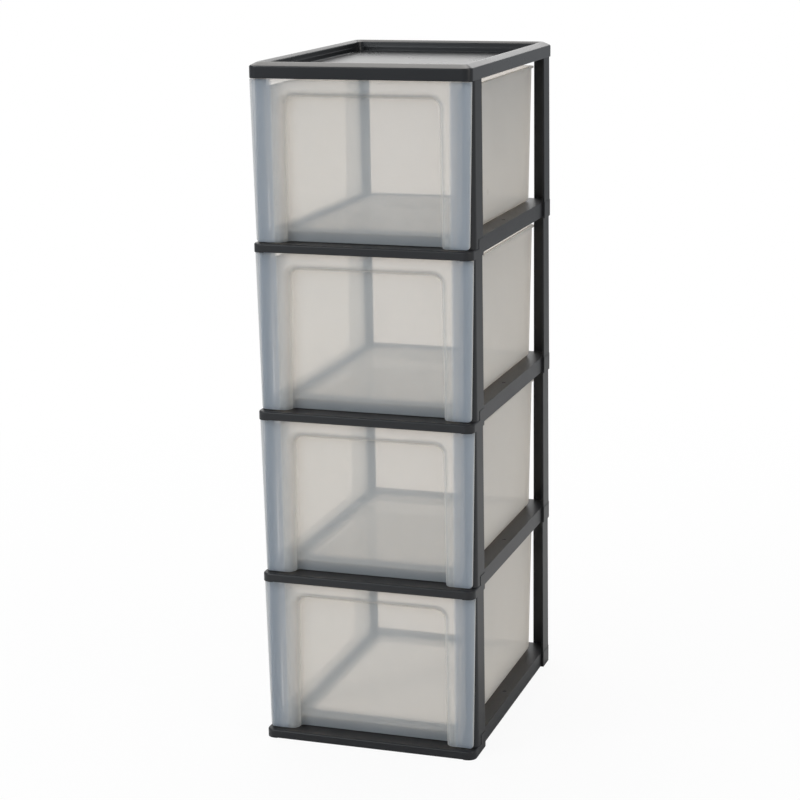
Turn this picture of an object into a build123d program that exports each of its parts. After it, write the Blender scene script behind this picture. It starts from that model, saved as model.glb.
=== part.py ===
from build123d import *
import os
from math import radians, tan

# Plastic drawer tower: four black tier frames stacked under a tray-topped cap,
# each frame carrying one clear drawer that slides out towards the front.
# Origin on the floor under the middle, +Z up, the front faces -Y, millimetres.

os.makedirs("parts", exist_ok=True)

# ---- driving dimensions -----------------------------------------------------
TIERS = 4
WIDTH = 260.0                # across the corner feet
DEPTH = 355.0                # face of the front bar to the rear feet
TIER_PITCH = 196.0           # one frame, seam to seam
CORNER_RADIUS = 10.0         # plan radius of the feet and of the cap
FRAME_WALL = 2.6             # moulded wall of the frames and the cap

# ring at the foot of each frame
BAR_LIFT = 0.5               # front bar above the feet
BAR_TOP = 10.3               # low ledge along the front
BAR_ROUND = 2.0
BAR_LEDGE = 29.5             # front face back to the riser
LEDGE_TOP = 20.0             # what the drawer slides on
FRONT_LEDGE = 22.0           # riser back to the inner edge of the front ledge
RAIL_INSET = 3.0             # side and rear rails stand inside the feet
RAIL_LIFT = 1.5
SIDE_LEDGE = 33.0            # rail face to the inner edge of the side ledge
OPENING_RADIUS = 12.0
GATE_RADIUS = 2.4            # moulding gate dimple in each side ledge
GATE_DEPTH = 0.5
GATE_Y = -5.0
LEDGE_LIP = 7.0              # stiffening lip under the inner edge

# corner posts: an L in plan, thinnest at the top
POST_INSET = 0.4             # post foot inside the corner foot
POST_DRAFT = 0.35            # degrees
POST_SET_BACK = 12.5         # front posts behind the face of the front bar
POST_SIDE = 34.5             # side flange, front to rear
FRONT_FLANGE = 13.6          # front post flange, across
REAR_FLANGE = 21.6           # rear post flange, across
TENON_HEIGHT = 6.5           # top of a post inside the corner above it
TENON_WALL = 2.2
FIT_CLEARANCE = 0.3

# cap
CAP_HEIGHT = 18.0
CAP_EDGE_ROUND = 3.5
CAP_INNER_ROUND = 1.6
CAP_RIM = 13.5
TRAY_DEPTH = 7.0
TRAY_CORNER = 6.0
CAP_GATE_Y = -12.0

# drawers
RUN_CLEARANCE = 0.3          # box floor above its ledge
DRAWER_WALL = 2.2
DRAWER_DRAFT = 1.04          # degrees, on the box and the front outline
BOX_INSET = 17.5             # box floor inside the outer face of the rails
BOX_REAR_GAP = 23.0          # box floor to the rear of the frame
BOX_RIM_DROP = 10.0          # rim of the box below the next seam
BOX_REAR_RADIUS = 12.0
BOX_FOOT_RADIUS = 6.0
RIM_OUT = 2.4
RIM_THICKNESS = 2.0
FACE_SET_BACK = 8.5          # drawer face behind the face of the front bar
FACE_INSET = 1.0             # top of the face inside the feet, each side
FACE_BOTTOM = 11.5
FACE_TOP_GAP = 0.9           # face top below the next seam
FACE_FOOT_RADIUS = 4.0
RETURN_DEPTH = 3.5           # edge of the face turned back
TOP_LIP_OUT = 1.0
TOP_LIP_HEIGHT = 2.4
COLUMN_TOP = 21.6            # box side to the wall of the sunk panel
COLUMN_BOTTOM = 16.8
RECESS_DROP = 19.7           # top wall of the sunk panel below the next seam
RECESS_DEPTH = 14.0
RECESS_CORNER = 11.0
RECESS_EDGE_ROUND = 9.2
PANEL_ROUND = 4.0
TOP_DRAWER_OUT = 3.0         # how far the top drawer stands out

# ---- places worked out from them --------------------------------------------
HALF_W = WIDTH / 2
FRONT = -DEPTH / 2
REAR = DEPTH / 2
RISER_Y = FRONT + BAR_LEDGE
POST_FRONT = FRONT + POST_SET_BACK
POST_MID = (POST_FRONT + REAR - POST_INSET) / 2
POST_SPAN = REAR - POST_INSET - POST_FRONT
POST_RISE = TIER_PITCH - BAR_TOP
POST_LEAN = POST_RISE * tan(radians(POST_DRAFT))
SIDE_GAP = POST_SPAN - 2 * POST_SIDE          # rails between the posts
FRONT_GAP = 2 * (HALF_W - POST_INSET - FRONT_FLANGE)
REAR_GAP = 2 * (HALF_W - POST_INSET - REAR_FLANGE)
TENON_INSET = FRAME_WALL + FIT_CLEARANCE - POST_INSET - POST_LEAN
TENON_SHY = FRAME_WALL + FIT_CLEARANCE        # tenon ends short of the post's
RAIL_HALF = HALF_W - RAIL_INSET
OPENING_HALF = RAIL_HALF - SIDE_LEDGE
OPENING_FRONT = RISER_Y + FRONT_LEDGE
OPENING_REAR = REAR - RAIL_INSET - SIDE_LEDGE
CUT = 5.0                    # how far a cutter runs past what it cuts
FACE_Y = FRONT + FACE_SET_BACK
FACE_TOP = TIER_PITCH - FACE_TOP_GAP
BOX_RIM_Z = TIER_PITCH - BOX_RIM_DROP
RECESS_TOP = TIER_PITCH - RECESS_DROP
PANEL_Y = FACE_Y + RECESS_DEPTH
BOX_FLOOR = LEDGE_TOP + RUN_CLEARANCE
BOX_REAR = REAR - BOX_REAR_GAP
SPREAD = tan(radians(DRAWER_DRAFT))
BOX_HALF = RAIL_HALF - BOX_INSET              # at the box floor
BACK_Y = PANEL_Y + DRAWER_WALL                # back of the sunk panel
OPENING_MID = (OPENING_FRONT + OPENING_REAR) / 2
OPENING_LENGTH = OPENING_REAR - OPENING_FRONT
GATE_X = (RAIL_HALF + BOX_HALF) / 2
CAP_Z = TIERS * TIER_PITCH


def box_half(z):
    """Half width of the drawer box at a height above the seam."""
    return BOX_HALF + (z - BOX_FLOOR) * SPREAD


def box_rear(z):
    """Rear of the drawer box at a height above the seam."""
    return BOX_REAR + (z - BOX_FLOOR) * SPREAD


def face_half(z):
    """Half width of the drawer's front at a height above the seam."""
    return HALF_W - FACE_INSET - (FACE_TOP - z) * SPREAD


def recess_half(z):
    """Half width between the walls beside the sunk panel."""
    rise = (z - FACE_BOTTOM) / (RECESS_TOP - FACE_BOTTOM)
    return box_half(z) - COLUMN_BOTTOM - (COLUMN_TOP - COLUMN_BOTTOM) * rise


# ---- drawer: what the sunk panel takes out of the inside --------------------
with BuildPart() as panel_bulge:
    with BuildSketch(Plane.XZ.offset(-BACK_Y)):
        with BuildLine():
            Polyline(
                (-recess_half(0) - DRAWER_WALL, 0),
                (-recess_half(RECESS_TOP) - DRAWER_WALL, RECESS_TOP + DRAWER_WALL),
                (recess_half(RECESS_TOP) + DRAWER_WALL, RECESS_TOP + DRAWER_WALL),
                (recess_half(0) + DRAWER_WALL, 0),
                close=True,
            )
        make_face()
        fillet(vertices().group_by(Axis.Y)[-1], RECESS_CORNER + DRAWER_WALL)
    extrude(amount=RECESS_DEPTH + CUT)
    back_edges = faces().sort_by(Axis.Y)[-1].edges()
    fillet(back_edges.sort_by(Axis.Z)[1:], PANEL_ROUND + DRAWER_WALL)

# ---- drawer: its inside, the box and the hollow columns beside the panel ----
with BuildPart() as drawer_inside:
    for z in (BOX_FLOOR + DRAWER_WALL, FACE_TOP + CUT):
        with BuildSketch(Plane.XY.offset(z)):
            with BuildLine():
                Polyline(
                    (DRAWER_WALL - box_half(z), PANEL_Y - DRAWER_WALL),
                    (box_half(z) - DRAWER_WALL, PANEL_Y - DRAWER_WALL),
                    (box_half(z) - DRAWER_WALL, box_rear(z) - DRAWER_WALL),
                    (DRAWER_WALL - box_half(z), box_rear(z) - DRAWER_WALL),
                    close=True,
                )
            make_face()
            fillet(vertices().group_by(Axis.Y)[-1], BOX_REAR_RADIUS - DRAWER_WALL)
    loft(ruled=True)
    floor_edges = faces().sort_by(Axis.Z)[0].edges()
    fillet(floor_edges.sort_by(Axis.Y)[1:], BOX_FOOT_RADIUS - DRAWER_WALL)
    for z in (FACE_BOTTOM + DRAWER_WALL, FACE_TOP + CUT):
        with BuildSketch(Plane.XY.offset(z)):
            with Locations((0, (FACE_Y + BACK_Y) / 2)):
                Rectangle(2 * (box_half(z) - DRAWER_WALL), RECESS_DEPTH - DRAWER_WALL)
    loft(ruled=True)
    add(panel_bulge.part, mode=Mode.SUBTRACT)
    front_edges = faces().sort_by(Axis.Y)[0].edges()
    bulge_edges = front_edges.filter_by(
        lambda edge: abs(edge.center().X) < recess_half(0) + 2 * DRAWER_WALL
        and FACE_BOTTOM + 2 * DRAWER_WALL < edge.center().Z < FACE_TOP
    )
    fillet(bulge_edges, RECESS_EDGE_ROUND - DRAWER_WALL)

# ---- drawer: one clear moulding ----------------------------------------------
with BuildPart() as drawer:
    # the box
    for z in (BOX_FLOOR, BOX_RIM_Z):
        with BuildSketch(Plane.XY.offset(z)):
            with BuildLine():
                Polyline(
                    (-box_half(z), BACK_Y - DRAWER_WALL / 2),
                    (box_half(z), BACK_Y - DRAWER_WALL / 2),
                    (box_half(z), box_rear(z)),
                    (-box_half(z), box_rear(z)),
                    close=True,
                )
            make_face()
            fillet(vertices().group_by(Axis.Y)[-1], BOX_REAR_RADIUS)
    loft(ruled=True)
    floor_edges = faces().sort_by(Axis.Z)[0].edges()
    fillet(floor_edges.sort_by(Axis.Y)[1:], BOX_FOOT_RADIUS)
    # the front hangs lower than the box
    for z in (FACE_BOTTOM, BOX_RIM_Z):
        with BuildSketch(Plane.XY.offset(z)):
            with Locations((0, (FACE_Y + BACK_Y) / 2)):
                Rectangle(2 * box_half(z), BACK_Y - FACE_Y)
    loft(ruled=True)
    # rim turned out round the box
    with BuildSketch(Plane.XY.offset(BOX_RIM_Z - RIM_THICKNESS)):
        with BuildLine():
            Polyline(
                (-box_half(BOX_RIM_Z) - RIM_OUT, FACE_Y + DRAWER_WALL),
                (box_half(BOX_RIM_Z) + RIM_OUT, FACE_Y + DRAWER_WALL),
                (box_half(BOX_RIM_Z) + RIM_OUT, box_rear(BOX_RIM_Z) + RIM_OUT),
                (-box_half(BOX_RIM_Z) - RIM_OUT, box_rear(BOX_RIM_Z) + RIM_OUT),
                close=True,
            )
        make_face()
        fillet(vertices().group_by(Axis.Y)[-1], BOX_REAR_RADIUS + RIM_OUT)
    extrude(amount=RIM_THICKNESS)
    # the front plate with its edge turned back
    with BuildSketch(Plane.XZ.offset(-FACE_Y)) as face_outline:
        with BuildLine():
            Polyline(
                (-face_half(FACE_BOTTOM), FACE_BOTTOM),
                (-face_half(FACE_TOP), FACE_TOP),
                (face_half(FACE_TOP), FACE_TOP),
                (face_half(FACE_BOTTOM), FACE_BOTTOM),
                close=True,
            )
        make_face()
        fillet(vertices().group_by(Axis.Y)[0], FACE_FOOT_RADIUS)
    extrude(amount=-DRAWER_WALL)
    with BuildSketch(Plane.XZ.offset(-FACE_Y)):
        add(face_outline.sketch)
        offset(amount=-DRAWER_WALL, mode=Mode.SUBTRACT)
    extrude(amount=-RETURN_DEPTH)
    # the sunk panel, open at the bottom
    with BuildSketch(Plane.XZ.offset(-PANEL_Y)):
        with BuildLine():
            Polyline(
                (-recess_half(0), 0),
                (-recess_half(RECESS_TOP), RECESS_TOP),
                (recess_half(RECESS_TOP), RECESS_TOP),
                (recess_half(0), 0),
                close=True,
            )
        make_face()
        fillet(vertices().group_by(Axis.Y)[-1], RECESS_CORNER)
    extrude(amount=RECESS_DEPTH + CUT, mode=Mode.SUBTRACT)
    panel_face = faces().filter_by(Axis.Y).sort_by(lambda face: abs(face.center().Y - PANEL_Y))[0]
    fillet(panel_face.edges().sort_by(Axis.Z)[1:], PANEL_ROUND)
    front_edges = faces().filter_by(Plane.XZ).sort_by(Axis.Y)[0].edges()
    recess_edges = front_edges.filter_by(
        lambda edge: abs(edge.center().X) < recess_half(0) + DRAWER_WALL
        and FACE_BOTTOM < edge.center().Z < RECESS_TOP + DRAWER_WALL
    )
    fillet(recess_edges, RECESS_EDGE_ROUND)
    add(drawer_inside.part, mode=Mode.SUBTRACT)
    # bead along the top of the front
    with Locations((0, FACE_Y, FACE_TOP - TOP_LIP_HEIGHT / 2)):
        Box(2 * face_half(FACE_TOP) - TOP_LIP_HEIGHT, 2 * TOP_LIP_OUT, TOP_LIP_HEIGHT)

# ---- tier frame: four drafted L posts with tenons ----------------------------
with BuildPart() as posts:
    with BuildSketch(Plane.XY.offset(BAR_TOP)):
        with Locations((0, POST_MID)):
            RectangleRounded(WIDTH - 2 * POST_INSET, POST_SPAN, CORNER_RADIUS - POST_INSET)
    extrude(amount=POST_RISE, taper=POST_DRAFT)
    with BuildSketch(Plane.XY.offset(BAR_TOP)):
        with Locations((0, POST_MID)):
            RectangleRounded(
                WIDTH - 2 * (POST_INSET + FRAME_WALL),
                POST_SPAN - 2 * FRAME_WALL,
                CORNER_RADIUS - POST_INSET - FRAME_WALL,
            )
    extrude(amount=POST_RISE, taper=POST_DRAFT, mode=Mode.SUBTRACT)
    with Locations((0, POST_MID, TIER_PITCH / 2)):
        Box(2 * WIDTH, SIDE_GAP, TIER_PITCH, mode=Mode.SUBTRACT)
    with Locations((0, -DEPTH / 2, TIER_PITCH / 2)):
        Box(FRONT_GAP, DEPTH, TIER_PITCH, mode=Mode.SUBTRACT)
    with Locations((0, DEPTH / 2, TIER_PITCH / 2)):
        Box(REAR_GAP, DEPTH, TIER_PITCH, mode=Mode.SUBTRACT)

with BuildPart() as tenons:
    tenon_length = POST_SPAN - 2 * (POST_LEAN + TENON_INSET)
    tenon_radius = CORNER_RADIUS - POST_INSET - POST_LEAN - TENON_INSET
    with BuildSketch(Plane.XY.offset(TIER_PITCH)):
        with Locations((0, POST_MID)):
            RectangleRounded(2 * (HALF_W - TENON_SHY), tenon_length, tenon_radius)
            RectangleRounded(
                2 * (HALF_W - TENON_SHY - TENON_WALL),
                tenon_length - 2 * TENON_WALL,
                tenon_radius - TENON_WALL,
                mode=Mode.SUBTRACT,
            )
            Rectangle(2 * WIDTH, SIDE_GAP + 2 * TENON_SHY, mode=Mode.SUBTRACT)
        with Locations((0, -DEPTH / 2)):
            Rectangle(FRONT_GAP + 2 * TENON_SHY, DEPTH, mode=Mode.SUBTRACT)
        with Locations((0, DEPTH / 2)):
            Rectangle(REAR_GAP + 2 * TENON_SHY, DEPTH, mode=Mode.SUBTRACT)
    extrude(amount=TENON_HEIGHT)

# ---- tier frame: one black moulding, ring and posts ---------------------------
with BuildPart() as tier_frame:
    with BuildSketch():
        RectangleRounded(WIDTH, DEPTH, CORNER_RADIUS)
    extrude(amount=LEDGE_TOP)
    # low ledge in front of the drawer
    with Locations((0, RISER_Y - DEPTH / 2, BAR_TOP + DEPTH / 2)):
        Box(2 * WIDTH, DEPTH, DEPTH, mode=Mode.SUBTRACT)
    bar_edges = faces().filter_by(Axis.Z).sort_by(Axis.Z)[1].edges()
    fillet(bar_edges.sort_by(Axis.Y)[:-1], BAR_ROUND)
    # rails stand inside the feet
    with Locations((-HALF_W, POST_MID, LEDGE_TOP / 2), (HALF_W, POST_MID, LEDGE_TOP / 2)):
        Box(2 * RAIL_INSET, SIDE_GAP, 2 * LEDGE_TOP, mode=Mode.SUBTRACT)
    with Locations((0, REAR, LEDGE_TOP / 2)):
        Box(REAR_GAP, 2 * RAIL_INSET, 2 * LEDGE_TOP, mode=Mode.SUBTRACT)
    add(posts.part)
    add(tenons.part)
    # hollow underside, shallower under the front ledge
    with BuildSketch() as hollow:
        RectangleRounded(WIDTH - 2 * FRAME_WALL, DEPTH - 2 * FRAME_WALL, CORNER_RADIUS - FRAME_WALL)
        with Locations((-HALF_W, POST_MID), (HALF_W, POST_MID)):
            Rectangle(2 * (RAIL_INSET + FRAME_WALL), SIDE_GAP + 2 * FRAME_WALL, mode=Mode.SUBTRACT)
        with Locations((0, REAR)):
            Rectangle(REAR_GAP + 2 * FRAME_WALL, 2 * (RAIL_INSET + FRAME_WALL), mode=Mode.SUBTRACT)
        with Locations((0, OPENING_MID)):
            RectangleRounded(
                2 * (OPENING_HALF + FRAME_WALL),
                OPENING_LENGTH + 2 * FRAME_WALL,
                OPENING_RADIUS + FRAME_WALL,
                mode=Mode.SUBTRACT,
            )
    extrude(amount=BAR_TOP - FRAME_WALL, mode=Mode.SUBTRACT)
    with BuildSketch():
        add(hollow.sketch)
        with Locations((0, RISER_Y + FRAME_WALL - DEPTH / 2)):
            Rectangle(2 * WIDTH, DEPTH, mode=Mode.SUBTRACT)
    extrude(amount=LEDGE_TOP - FRAME_WALL, mode=Mode.SUBTRACT)
    # the opening, with a lip under its edge
    with BuildSketch() as opening:
        with Locations((0, OPENING_MID)):
            RectangleRounded(2 * OPENING_HALF, OPENING_LENGTH, OPENING_RADIUS)
    extrude(amount=LEDGE_TOP, mode=Mode.SUBTRACT)
    with BuildSketch():
        add(opening.sketch)
        offset(amount=FRAME_WALL)
    extrude(amount=LEDGE_TOP - LEDGE_LIP, mode=Mode.SUBTRACT)
    # bar and rails are lifted off the seam between the feet
    with Locations((0, FRONT, 0)):
        Box(FRONT_GAP, 2 * BAR_LEDGE, 2 * BAR_LIFT, mode=Mode.SUBTRACT)
    with Locations((0, POST_MID, 0)):
        Box(2 * WIDTH, SIDE_GAP, 2 * RAIL_LIFT, mode=Mode.SUBTRACT)
    with Locations((0, REAR, 0)):
        Box(REAR_GAP, 2 * SIDE_LEDGE, 2 * RAIL_LIFT, mode=Mode.SUBTRACT)
    # gate dimples on the side ledges
    with Locations((-GATE_X, GATE_Y, LEDGE_TOP), (GATE_X, GATE_Y, LEDGE_TOP)):
        Cylinder(GATE_RADIUS, 2 * GATE_DEPTH, mode=Mode.SUBTRACT)

# ---- cap: a shallow tray on a hollow skirt ------------------------------------
with BuildPart() as top_cap:
    with BuildSketch(Plane.XY.offset(CAP_Z)):
        RectangleRounded(WIDTH, DEPTH, CORNER_RADIUS)
    extrude(amount=CAP_HEIGHT)
    fillet(faces().sort_by(Axis.Z)[-1].edges(), CAP_EDGE_ROUND)
    with BuildSketch(Plane.XY.offset(CAP_Z + CAP_HEIGHT)):
        RectangleRounded(WIDTH - 2 * CAP_RIM, DEPTH - 2 * CAP_RIM, TRAY_CORNER)
    extrude(amount=-TRAY_DEPTH, mode=Mode.SUBTRACT)
    fillet(faces().sort_by(Axis.Z)[-1].inner_wires()[0].edges(), CAP_INNER_ROUND)
    with BuildSketch(Plane.XY.offset(CAP_Z)):
        RectangleRounded(WIDTH - 2 * FRAME_WALL, DEPTH - 2 * FRAME_WALL, CORNER_RADIUS - FRAME_WALL)
    extrude(amount=CAP_HEIGHT - TRAY_DEPTH - FRAME_WALL, mode=Mode.SUBTRACT)
    with BuildSketch(Plane.XY.offset(CAP_Z)):
        RectangleRounded(
            WIDTH - 2 * (CAP_EDGE_ROUND + FRAME_WALL),
            DEPTH - 2 * (CAP_EDGE_ROUND + FRAME_WALL),
            CORNER_RADIUS - CAP_EDGE_ROUND,
        )
        RectangleRounded(
            WIDTH - 2 * (CAP_RIM - FRAME_WALL),
            DEPTH - 2 * (CAP_RIM - FRAME_WALL),
            TRAY_CORNER + FRAME_WALL,
            mode=Mode.SUBTRACT,
        )
    extrude(amount=CAP_HEIGHT - FRAME_WALL, mode=Mode.SUBTRACT)
    with Locations((0, CAP_GATE_Y, CAP_Z + CAP_HEIGHT - TRAY_DEPTH)):
        Cylinder(GATE_RADIUS, 2 * GATE_DEPTH, mode=Mode.SUBTRACT)

top_cap.part.label = "top_cap"
export_step(top_cap.part, "parts/top_cap.step")

# ---- the stack ------------------------------------------------------------------
for tier in range(TIERS):
    name = f"tier_frame_{tier + 1}"
    with BuildPart() as placed_frame:
        with Locations((0, 0, tier * TIER_PITCH)):
            add(tier_frame.part)
    placed_frame.part.label = name
    export_step(placed_frame.part, f"parts/{name}.step")

for tier in range(TIERS):
    name = f"drawer_{tier + 1}"
    out = TOP_DRAWER_OUT if tier == TIERS - 1 else 0
    with BuildPart() as placed_drawer:
        with Locations((0, -out, tier * TIER_PITCH)):
            add(drawer.part)
    placed_drawer.part.label = name
    export_step(placed_drawer.part, f"parts/{name}.step")
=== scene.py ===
import math

import bmesh
import bpy
from mathutils import Matrix, Vector


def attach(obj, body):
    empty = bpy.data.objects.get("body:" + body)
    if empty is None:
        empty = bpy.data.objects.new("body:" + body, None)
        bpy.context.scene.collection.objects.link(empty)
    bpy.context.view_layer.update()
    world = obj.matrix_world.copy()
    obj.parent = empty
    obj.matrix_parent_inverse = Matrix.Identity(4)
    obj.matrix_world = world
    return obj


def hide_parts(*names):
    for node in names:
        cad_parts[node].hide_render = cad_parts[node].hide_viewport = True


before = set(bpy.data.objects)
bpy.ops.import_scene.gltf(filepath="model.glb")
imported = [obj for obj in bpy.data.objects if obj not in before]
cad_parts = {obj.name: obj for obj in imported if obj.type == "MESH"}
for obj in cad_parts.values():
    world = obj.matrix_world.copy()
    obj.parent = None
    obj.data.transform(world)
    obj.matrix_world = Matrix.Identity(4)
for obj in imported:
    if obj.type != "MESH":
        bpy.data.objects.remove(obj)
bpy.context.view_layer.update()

# ---- Top cap -----------------------------------------------------------------
# A shallow tray moulded in black plastic, smooth enough on its floor to mirror the
# rim round it. It is pushed down over the four post tops of the highest frame.

MM = 0.001
CREASE_ANGLE = math.radians(24)
EDGE_STEPS = 2
PLASTIC_IOR = 1.49
BLACK = (0.0100, 0.0105, 0.0120, 1)
CLOUDED_BLACK = (0.0135, 0.014175, 0.0162, 1)
CLOUD_SCALE = 9.0
SHEEN_SWING = 0.08
GRAIN_SCALE = 1900.0
GRAIN_DEPTH = 0.05 * MM


class Value:
    """A shader socket that takes part in Python arithmetic."""

    def __init__(self, finish, socket):
        self.finish = finish
        self.socket = socket

    def math(self, operation, other, swap=False):
        pair = (other, self) if swap else (self, other)
        return self.finish.node("ShaderNodeMath", {"operation": operation}, pair)

    def __add__(self, other):
        return self.math("ADD", other)

    def __sub__(self, other):
        return self.math("SUBTRACT", other)

    def __mul__(self, other):
        return self.math("MULTIPLY", other)

    def __radd__(self, other):
        return self.math("ADD", other, swap=True)

    def __rsub__(self, other):
        return self.math("SUBTRACT", other, swap=True)

    def __rmul__(self, other):
        return self.math("MULTIPLY", other, swap=True)


class Finish:
    """The look of a material, or of the studio round the tower, node by node."""

    def __init__(self, owner):
        self.owner = owner
        owner.use_nodes = True
        self.nodes = owner.node_tree.nodes
        self.links = owner.node_tree.links
        self.nodes.clear()

    def node(self, kind, settings=None, inputs=(), output=0):
        """Adds a node: settings first, then its sockets by name, number or in order."""
        made = self.nodes.new(kind)
        for setting, value in (settings or {}).items():
            setattr(made, setting, value)
        pairs = inputs.items() if isinstance(inputs, dict) else enumerate(inputs)
        for socket, value in pairs:
            if isinstance(value, Value):
                self.links.new(value.socket, made.inputs[socket])
            else:
                made.inputs[socket].default_value = value
        if made.outputs:
            return Value(self, made.outputs[output])

    def noise(self, scale, detail):
        """Noise over the piece, in its own coordinates."""
        place = self.node("ShaderNodeTexCoord", output="Object")
        sizes = {"Vector": place, "Scale": scale, "Detail": detail}
        return self.node("ShaderNodeTexNoise", inputs=sizes)

    def blend(self, factor, low, high):
        """A colour between two: a Mix node's colours go in at 6 and 7 and leave at 2."""
        ends = {0: factor, 6: low, 7: high}
        return self.node("ShaderNodeMix", {"data_type": "RGBA"}, ends, output=2)

    def bump(self, height, strength, distance):
        """A normal from a height."""
        sizes = {"Height": height, "Strength": strength, "Distance": distance}
        return self.node("ShaderNodeBump", inputs=sizes)

    def surface(self, shader):
        """Ends the material with this shader."""
        self.node("ShaderNodeOutputMaterial", inputs={"Surface": shader})
        return self.owner


def black_plastic(name, roughness, grain):
    """Black moulded plastic: a soft sheen broken by a fine spark-eroded grain."""
    finish = Finish(bpy.data.materials.new(name))
    cloud = finish.noise(CLOUD_SCALE, detail=3.0)
    fine = finish.noise(GRAIN_SCALE, detail=2.0)
    sheen = roughness + SHEEN_SWING * (cloud - 0.5)
    plastic = {
        "Base Color": finish.blend(cloud, BLACK, CLOUDED_BLACK),
        "Roughness": sheen,
        "Normal": finish.bump(fine, grain, GRAIN_DEPTH),
        "IOR": PLASTIC_IOR,
    }
    return finish.surface(finish.node("ShaderNodeBsdfPrincipled", inputs=plastic))


def dress(mesh, name, material, round_by, node):
    """Puts a mesh in the place of a CAD node, its sharp edges rounded."""
    piece = bpy.data.objects.new(name, mesh)
    bpy.context.scene.collection.objects.link(piece)
    mesh.materials.append(material)
    bevel = piece.modifiers.new("rounded edges", "BEVEL")
    bevel.width = round_by
    bevel.segments = EDGE_STEPS
    bevel.limit_method = "ANGLE"
    bevel.angle_limit = CREASE_ANGLE
    for polygon in mesh.polygons:
        polygon.use_smooth = True
    mesh.set_sharp_from_angle(angle=CREASE_ANGLE)
    piece.modifiers.new("flat faces stay flat", "WEIGHTED_NORMAL")
    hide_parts(node)
    return piece


# The cap's section, as points (inset from its outer face, height above its foot) in mm:
# under the tray, the skirt, the sloped rim, and the stepped wall down to the floor.
CAP_UNDERSIDE = [(12.4, 1.6), (11.2, 2.4), (10.9, 12.0), (8.4, 14.6), (4.4, 12.8), (2.6, 10.6)]
CAP_SKIRT = [(2.6, 0.0), (0.0, 0.0), (0.0, 12.6), (0.3, 13.5), (1.1, 14.3)]
CAP_RIM = [(7.4, 17.5), (8.4, 17.9), (9.4, 18.0), (12.6, 16.0), (13.3, 15.2), (13.5, 14.2)]
TRAY_WALL = [(13.8, 10.4), (14.2, 9.6), (14.5, 5.4), (14.9, 4.6), (15.8, 4.2)]
TRAY_FLOOR = 4.2
CAP_CORNER = 10.0
TRAY_CORNER = 6.0
CAP_EDGE_ROUND = 0.25 * MM
CORNER_STEPS = 8

# The moulding gate leaves a small sunk disc near the middle of the tray's floor.
GATE_RADIUS = 2.4
GATE_DEPTH = 0.5
GATE_Y = -12.0

cad_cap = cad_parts["top_cap"]
cap_corners = [cad_cap.matrix_world @ Vector(corner) for corner in cad_cap.bound_box]
CAP_HALF_X = max(corner.x for corner in cap_corners)
CAP_HALF_Y = max(corner.y for corner in cap_corners)
CAP_FOOT = min(corner.z for corner in cap_corners)


def cap_ring(inset, height):
    """A rounded rectangle at one point of the section."""
    radius = max(CAP_CORNER - inset, TRAY_CORNER) * MM
    reach_x = CAP_HALF_X - inset * MM - radius
    reach_y = CAP_HALF_Y - inset * MM - radius
    points = []
    for quarter, (side_x, side_y) in enumerate([(1, 1), (-1, 1), (-1, -1), (1, -1)]):
        for step in range(CORNER_STEPS + 1):
            angle = (quarter + step / CORNER_STEPS) * math.pi / 2
            x = side_x * reach_x + radius * math.cos(angle)
            y = side_y * reach_y + radius * math.sin(angle)
            points.append((x, y, CAP_FOOT + height * MM))
    return points


def gate_ring(radius, height):
    """A circle round the moulding gate, with as many points as a cap ring."""
    count = 4 * (CORNER_STEPS + 1)
    points = []
    for step in range(count):
        angle = (step + 0.5) / count * 2 * math.pi
        x = radius * MM * math.cos(angle)
        y = (GATE_Y + radius * math.sin(angle)) * MM
        points.append((x, y, CAP_FOOT + height * MM))
    return points


cap_shape = bmesh.new()
section = CAP_UNDERSIDE + CAP_SKIRT + CAP_RIM + TRAY_WALL
rings = [cap_ring(inset, height) for inset, height in section]
rings.append(gate_ring(GATE_RADIUS, TRAY_FLOOR))
rings.append(gate_ring(GATE_RADIUS - GATE_DEPTH, TRAY_FLOOR - GATE_DEPTH))
loops = [[cap_shape.verts.new(point) for point in ring] for ring in rings]
for below, above in zip(loops, loops[1:]):
    for here in range(len(below)):
        there = (here + 1) % len(below)
        cap_shape.faces.new((below[here], below[there], above[there], above[here]))
cap_shape.faces.new(reversed(loops[0]))
cap_shape.faces.new(loops[-1])
bmesh.ops.recalc_face_normals(cap_shape, faces=cap_shape.faces)
cap_mesh = bpy.data.meshes.new("cap")
cap_shape.to_mesh(cap_mesh)
cap_shape.free()

cap_plastic = black_plastic("smoother black plastic", roughness=0.28, grain=0.15)
cap = dress(cap_mesh, "cap", cap_plastic, CAP_EDGE_ROUND, "top_cap")
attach(cap, "frame")

# ---- Tier frames --------------------------------------------------------------
# Each tier is one black moulding: a ring with ledges for the drawer and four L
# posts. The posts' tops plug into the corners of the ring above.

TIERS = 4
FRAME_EDGE_ROUND = 0.45 * MM
WELD_WITHIN = 0.002 * MM
FLAT_WITHIN = math.radians(0.4)


def moulding(node, name, material, round_by):
    """A clean copy of a CAD node, dressed in the node's place."""
    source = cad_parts[node]
    mesh = bpy.data.meshes.new(name)
    shape = bmesh.new()
    shape.from_mesh(source.data)
    shape.transform(source.matrix_world)
    bmesh.ops.remove_doubles(shape, verts=shape.verts, dist=WELD_WITHIN)
    bmesh.ops.dissolve_limit(
        shape, angle_limit=FLAT_WITHIN, verts=shape.verts, edges=shape.edges
    )
    shape.to_mesh(mesh)
    shape.free()
    return dress(mesh, name, material, round_by, node)


frame_plastic = black_plastic("satin black plastic", roughness=0.40, grain=0.35)

for tier in range(1, TIERS + 1):
    ring = moulding(f"tier_frame_{tier}", f"frame_{tier}", frame_plastic, FRAME_EDGE_ROUND)
    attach(ring, "frame")

# ---- Drawers ------------------------------------------------------------------
# Each drawer is one clear polypropylene moulding, faintly milky. It rests on the
# ledges of its frame and slides forward on them.

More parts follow.
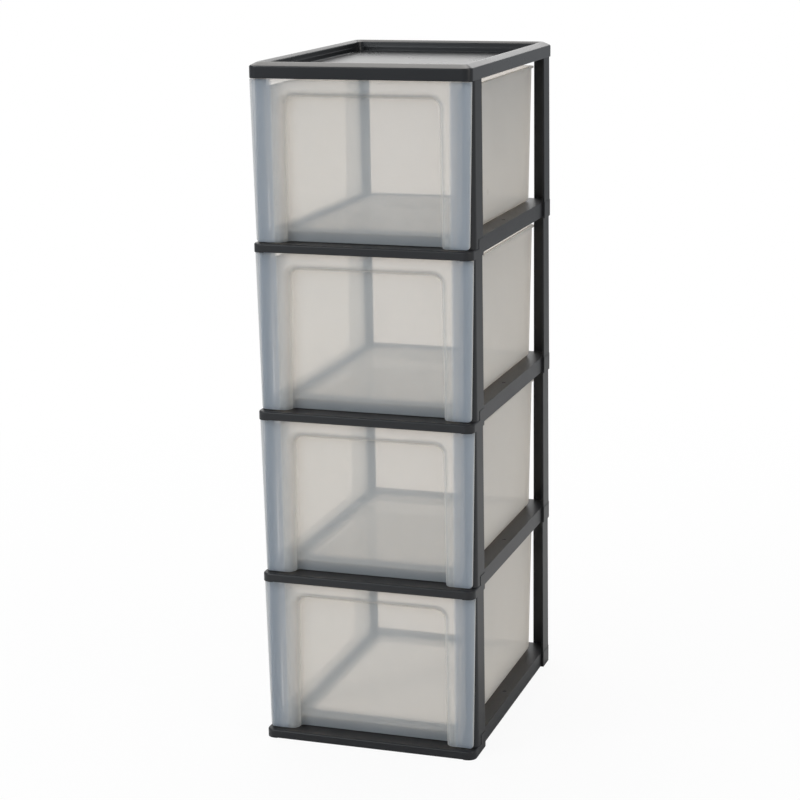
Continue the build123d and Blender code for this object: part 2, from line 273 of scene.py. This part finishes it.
DRAWER_EDGE_ROUND = 0.7 * MM
MILK = (0.80, 0.90, 1.0, 1)
WARM_MILK = (0.88, 0.85, 0.80, 1)
CLEAR_TINT = (0.980, 0.945, 0.905, 1)
CLEAR_CLOUD_SCALE = 11.0
CLEAR_ROUGHNESS = 0.25
CLEAR_ROUGHNESS_SWING = 0.10
RIPPLE_SCALE = 30.0
RIPPLE_STRENGTH = 0.10
RIPPLE_DEPTH = 0.20 * MM

# The share of the milk that passes light on, seen square on and seen along the wall.
LIGHT_THROUGH = 0.35
LIGHT_THROUGH_SLANTED = 0.80

# What clouds in the plastic, and a slanting view of the wall, add to the milk.
MILK_CLOUD = 0.05
MILK_SLANTED = 0.70

# The hollow columns at the two ends of a drawer's front are given a denser, bluer milk
# than the sunk panel between them: painted cool light, standing in for the key lamp's
# cool light falling on them. Across the front they set in over COLUMN_SPAN, measured
# from the middle, and they reach back as far as COLUMN_BACK.
COLUMN_SPAN = (102.5 * MM, 106.5 * MM)
COLUMN_BACK = -163 * MM
COLUMN_PAINTED_LIGHT_MILK = 0.34
COLUMN_PAINTED_COOL_LIGHT = (0.44, 0.52, 0.62, 1)


def clear_plastic(name, milkiness):
    """Milky clear plastic: it scatters cool light and passes the warmer rest."""
    finish = Finish(bpy.data.materials.new(name))
    cloud = finish.noise(CLEAR_CLOUD_SCALE, detail=2.0)
    ripple = finish.noise(RIPPLE_SCALE, detail=1.0)
    slant = finish.node("ShaderNodeLayerWeight", inputs={"Blend": 0.5}, output="Facing")
    place = finish.node("ShaderNodeTexCoord", output="Object")
    across = finish.node("ShaderNodeSeparateXYZ", inputs=(place,), output="X")
    along = finish.node("ShaderNodeSeparateXYZ", inputs=(place,), output="Y")
    aside = finish.node("ShaderNodeMath", {"operation": "ABSOLUTE"}, (across,))
    beside = finish.node("ShaderNodeMapRange", inputs=(aside, *COLUMN_SPAN))
    ahead = finish.node("ShaderNodeMath", {"operation": "LESS_THAN"}, (along, COLUMN_BACK))
    # Painted cool light: a mask over the front columns that makes their milk denser and bluer.
    painted_cool_light = beside * ahead
    gloss = finish.node(
        "ShaderNodeBsdfPrincipled",
        inputs={
            "Base Color": finish.blend(painted_cool_light, MILK, COLUMN_PAINTED_COOL_LIGHT),
            "Roughness": CLEAR_ROUGHNESS + CLEAR_ROUGHNESS_SWING * cloud,
            "IOR": PLASTIC_IOR,
            "Normal": finish.bump(ripple, RIPPLE_STRENGTH, RIPPLE_DEPTH),
        },
    )
    through = finish.node("ShaderNodeBsdfTranslucent", inputs={"Color": WARM_MILK})
    inward = LIGHT_THROUGH + (LIGHT_THROUGH_SLANTED - LIGHT_THROUGH) * slant
    milk = finish.node("ShaderNodeMixShader", inputs=(inward, gloss, through))
    clear = finish.node("ShaderNodeBsdfTransparent", inputs={"Color": CLEAR_TINT})
    slanted = MILK_SLANTED * (slant * slant)
    density = milkiness + MILK_CLOUD * cloud + slanted + COLUMN_PAINTED_LIGHT_MILK * painted_cool_light
    return finish.surface(finish.node("ShaderNodeMixShader", inputs=(density, clear, milk)))


milky_clear = clear_plastic("milky clear plastic", milkiness=0.26)
# The rounded edges get a denser milk: partly the longer path through the plastic there, partly
# a painted highlight that brightens the edges into lines.
denser_milk_and_painted_highlight = clear_plastic("milky clear plastic at its edges", milkiness=0.60)

for tier in range(1, TIERS + 1):
    shell = moulding(f"drawer_{tier}", f"drawer_{tier}_shell", milky_clear, DRAWER_EDGE_ROUND)
    # The bevel's rounded edges take the denser milk with its painted highlight.
    shell.data.materials.append(denser_milk_and_painted_highlight)
    shell.modifiers["rounded edges"].material = 1
    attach(shell, f"drawer_body_{tier}")

# ---- Studio ---------------------------------------------------------------------
# A white sweep under soft lamps, with the camera where the photograph was taken.

WHITE = (1, 1, 1, 1)
PAPER = (0.8, 0.8, 0.8, 1)
SKY = (0.92, 0.96, 1.0, 1)
SKY_STRENGTH = 0.45
FLOOR_HALF = 6.0

# The share of the floor's colour that is plain white whatever the light, below the
# tower, and the distance at which all of it is.
PLAIN_SHARE = 0.92
PLAIN_REACH = 1.6


def seen_plainly(finish):
    """1 where the camera looks, straight or through the clear plastic, and 0 for light."""
    straight = finish.node("ShaderNodeLightPath", output="Is Camera Ray")
    passed = finish.node("ShaderNodeLightPath", output="Is Transmission Ray")
    return finish.node("ShaderNodeMath", {"operation": "MAXIMUM"}, (straight, passed))


def white_sweep():
    """White to the camera, and still taking a little of the tower's shadow."""
    finish = Finish(bpy.data.materials.new("white sweep"))
    paper = finish.node("ShaderNodeBsdfDiffuse", inputs={"Color": PAPER})
    glow = finish.node("ShaderNodeEmission", inputs={"Color": WHITE, "Strength": 1.0})
    place = finish.node("ShaderNodeTexCoord", output="Object")
    away = finish.node("ShaderNodeVectorMath", {"operation": "LENGTH"}, (place,), "Value")
    fade = finish.node("ShaderNodeMath", {"operation": "MINIMUM"}, (away, PLAIN_REACH))
    plain = PLAIN_SHARE + (1 - PLAIN_SHARE) / PLAIN_REACH * fade
    shown = plain * seen_plainly(finish)
    return finish.surface(finish.node("ShaderNodeMixShader", inputs=(shown, paper, glow)))


floor_mesh = bpy.data.meshes.new("floor")
corner_sides = [(-1, -1), (1, -1), (1, 1), (-1, 1)]
floor_corners = [(x * FLOOR_HALF, y * FLOOR_HALF, 0) for x, y in corner_sides]
floor_mesh.from_pydata(floor_corners, [], [(0, 1, 2, 3)])
floor_mesh.materials.append(white_sweep())
floor = bpy.data.objects.new("floor", floor_mesh)
bpy.context.scene.collection.objects.link(floor)

sky = Finish(bpy.data.worlds.new("studio"))
lit = sky.node("ShaderNodeBackground", inputs={"Color": SKY, "Strength": SKY_STRENGTH})
white = sky.node("ShaderNodeBackground", inputs={"Color": WHITE})
backdrop = sky.node("ShaderNodeMixShader", inputs=(seen_plainly(sky), lit, white))
sky.node("ShaderNodeOutputWorld", inputs={"Surface": backdrop})
bpy.context.scene.world = sky.owner

# Each lamp's name, place, the point it faces, width, height, watts and colour.
SOFT_LAMPS = [
    ("key lamp", (-1.9, -2.3, 2.0), (0, 0, 0.4), 1.6, 1.6, 44, (0.93, 0.97, 1.0)),
    ("side lamp", (2.6, -0.9, 1.6), (0, 0, 0.4), 1.2, 2.0, 14, (1.0, 0.94, 0.88)),
    ("top lamp", (-0.5, 1.0, 2.5), (0, 0, 0.6), 1.6, 1.6, 26, (1.0, 0.97, 0.93)),
    ("rear lamp", (-0.85, 2.45, 1.70), (0, 0, 0.8), 2.2, 1.3, 13, (1.0, 0.98, 0.96)),
]

for name, place, aim, width, height, watts, colour in SOFT_LAMPS:
    lamp = bpy.data.lights.new(name, "AREA")
    lamp.shape = "RECTANGLE"
    lamp.size = width
    lamp.size_y = height
    lamp.energy = watts
    lamp.color = colour
    holder = bpy.data.objects.new(name, lamp)
    holder.location = place
    holder.rotation_euler = (Vector(aim) - Vector(place)).to_track_quat("-Z", "Y").to_euler()
    bpy.context.scene.collection.objects.link(holder)

# The camera's place and lens follow the vanishing lines of the tower's edges.
TURN = math.radians(18.39)
RISE = math.radians(13.64)
ROLL = math.radians(-0.78)
DISTANCE = 2.5985
AIM = Vector((-0.0142, 0.0, 0.3813))
LENS = 96.06
SENSOR = 36.0
NEAREST = 0.05
FARTHEST = 60.0

back = Vector(
    (math.sin(TURN) * math.cos(RISE), -math.cos(TURN) * math.cos(RISE), math.sin(RISE))
)
level = Vector((math.cos(TURN), math.sin(TURN), 0))
upright = back.cross(level)
right = level * math.cos(ROLL) + upright * math.sin(ROLL)
up = upright * math.cos(ROLL) - level * math.sin(ROLL)

lens = bpy.data.cameras.new("camera")
lens.lens = LENS
lens.sensor_width = SENSOR
lens.clip_start = NEAREST
lens.clip_end = FARTHEST
camera = bpy.data.objects.new("camera", lens)
camera.matrix_world = Matrix.Translation(AIM + back * DISTANCE) @ Matrix(
    (right, up, back)
).transposed().to_4x4()
bpy.context.scene.collection.objects.link(camera)
bpy.context.scene.camera = camera
bpy.context.scene.view_settings.view_transform = "Standard"
